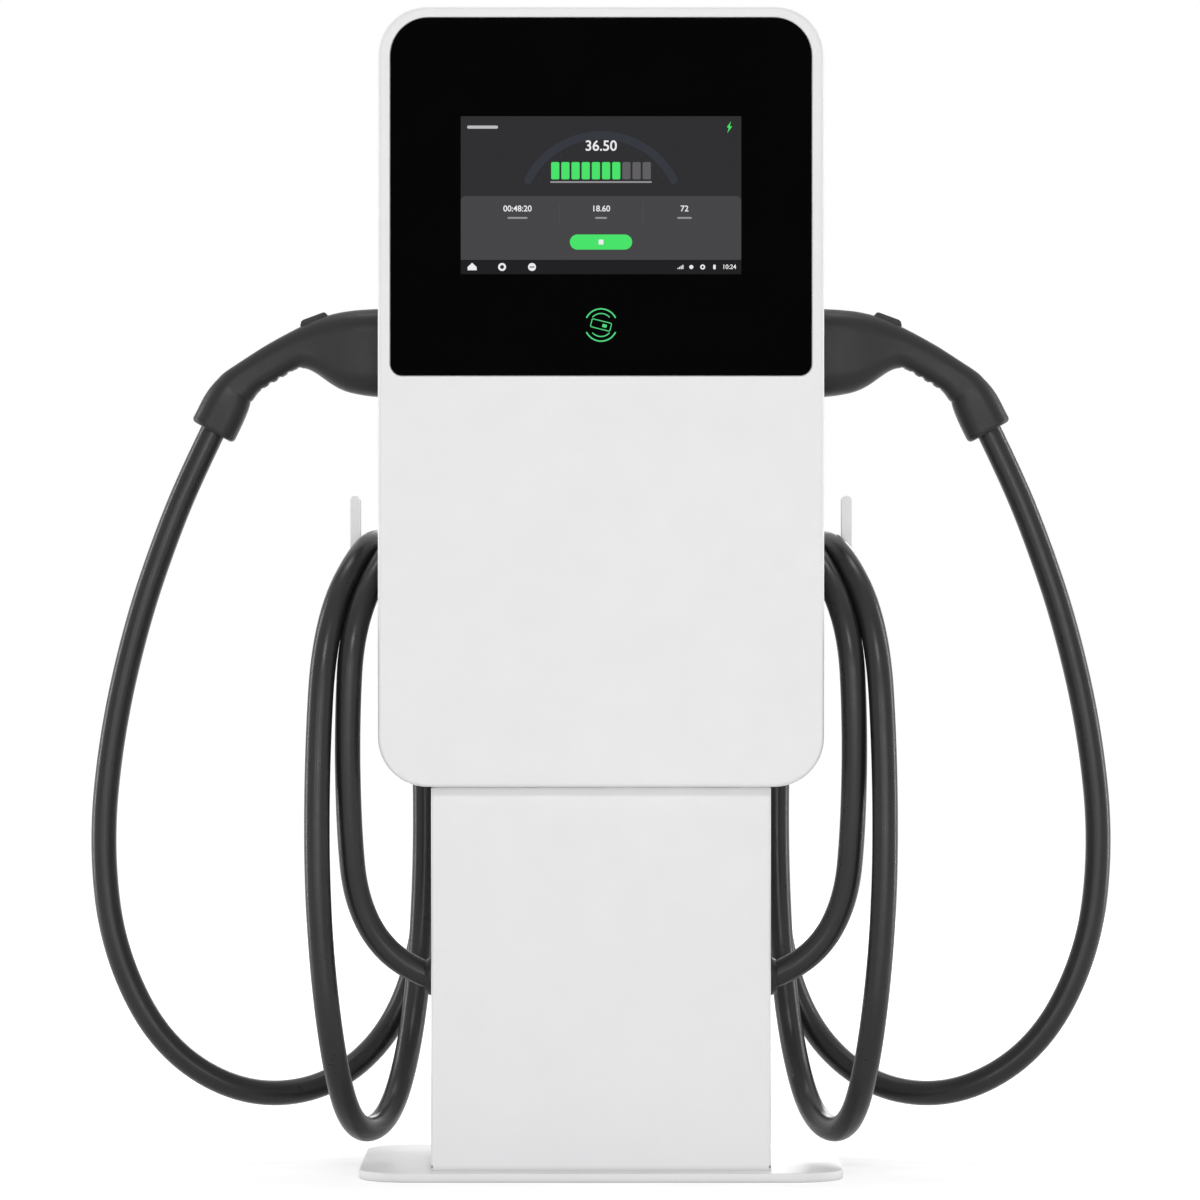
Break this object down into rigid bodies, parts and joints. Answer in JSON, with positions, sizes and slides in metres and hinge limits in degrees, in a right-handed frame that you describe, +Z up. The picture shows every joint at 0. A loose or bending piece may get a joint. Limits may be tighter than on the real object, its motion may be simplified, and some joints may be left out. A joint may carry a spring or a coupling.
{
  "type": "ev charging post",
  "caption": "Free-standing DC charger: screen head on a sheet-metal column, with a cabled connector parked on each side and cable hooks.",
  "frame": {"origin": "middle of the base plate's underside", "axes": "+Z up, the screen faces -Y, +X to the right of someone who faces the screen"},
  "size_m": [1.1544, 0.3639, 1.295],
  "materials": {
    "white_paint": "satin powder coat",
    "black_glass": "back-printed black glass, polished",
    "cable_jacket": "smooth satin jacket",
    "black_plastic": "fine moulded texture",
    "insert_plastic": "moulded",
    "gasket_rubber": "foam",
    "zinc_steel": "zinc plated",
    "aluminium": "mill finish",
    "silver_contact": "silver plated",
    "circuit_green": "solder mask",
    "device_grey": "moulded",
    "filter_foam": "open foam"
  },
  "bodies": {
    "post": {"air_filter": "filter_foam", "base_plate": "white_paint", "cable_glands": "black_plastic", "cable_grommets": "black_plastic", "cable_hook_left": "white_paint", "cable_hook_right": "white_paint", "cable_left": "cable_jacket", "cable_right": "cable_jacket", "case_screws": "zinc_steel", "column_back_cover": "white_paint", "column_back_screws": "zinc_steel", "column_shell": "white_paint", "column_top_tray": "zinc_steel", "contactors": "device_grey", "controller_board": "circuit_green", "din_rail": "zinc_steel", "display_bracket": "zinc_steel", "display_module": "device_grey", "equipment_plates": "zinc_steel", "exhaust_grille": "white_paint", "fan_frames": "black_plastic", "foot_bolts": "zinc_steel", "foot_frame": "zinc_steel", "front_cover": "white_paint", "gland_bracket": "zinc_steel", "gland_nuts": "black_plastic", "glass_gasket": "gasket_rubber", "glass_panel": "black_glass", "head_bolts": "zinc_steel", "holster_left": "black_plastic", "holster_right": "black_plastic", "input_terminals": "device_grey", "intake_grille": "white_paint", "module_shelves": "zinc_steel", "power_modules": "aluminium", "rear_body": "white_paint", "rear_panel": "white_paint", "rfid_reader": "circuit_green", "side_screws": "zinc_steel", "surge_protector": "device_grey"},
    "connector_left": {"connector_left_collar": "black_plastic", "connector_left_contacts": "silver_contact", "connector_left_insert": "insert_plastic", "connector_left_latch_pin": "zinc_steel", "connector_left_latch_spring": "zinc_steel", "connector_left_screws": "zinc_steel", "connector_left_shell_far": "black_plastic", "connector_left_shell_near": "black_plastic"},
    "latch_left": {"connector_left_latch": "black_plastic"},
    "connector_right": {"connector_right_collar": "black_plastic", "connector_right_contacts": "silver_contact", "connector_right_insert": "insert_plastic", "connector_right_latch_pin": "zinc_steel", "connector_right_latch_spring": "zinc_steel", "connector_right_screws": "zinc_steel", "connector_right_shell_far": "black_plastic", "connector_right_shell_near": "black_plastic"},
    "latch_right": {"connector_right_latch": "black_plastic"},
    "fan_left": {"fan_rotor_left": "black_plastic"},
    "fan_right": {"fan_rotor_right": "black_plastic"}
  },
  "joints": [
    {"name": "connector_left_pull", "type": "slide", "parent": "post", "child": "connector_left", "axis": [-1, 0, 0], "range_m": [0, 0.075], "deforming": ["cable_left"]},
    {"name": "connector_right_pull", "type": "slide", "parent": "post", "child": "connector_right", "axis": [1, 0, 0], "range_m": [0, 0.075], "deforming": ["cable_right"]},
    {"name": "latch_left_release", "type": "hinge", "parent": "connector_left", "child": "latch_left", "pos_m": [-0.262, 0, 0.954], "axis": [0, -1, 0], "range_deg": [0, 4.5], "stiffness_Nm_per_rad": 0.6, "springref_deg": -3.44, "deforming": ["connector_left_latch_spring"]},
    {"name": "latch_right_release", "type": "hinge", "parent": "connector_right", "child": "latch_right", "pos_m": [0.262, 0, 0.954], "axis": [0, 1, 0], "range_deg": [0, 4.5], "stiffness_Nm_per_rad": 0.6, "springref_deg": -3.44, "deforming": ["connector_right_latch_spring"]},
    {"name": "fan_left_spin", "type": "hinge", "parent": "post", "child": "fan_left", "pos_m": [-0.066, 0.08, 1.178], "axis": [0, 1, 0], "continuous": true},
    {"name": "fan_right_spin", "type": "hinge", "parent": "post", "child": "fan_right", "pos_m": [0.066, 0.08, 1.178], "axis": [0, 1, 0], "continuous": true}
  ]
}
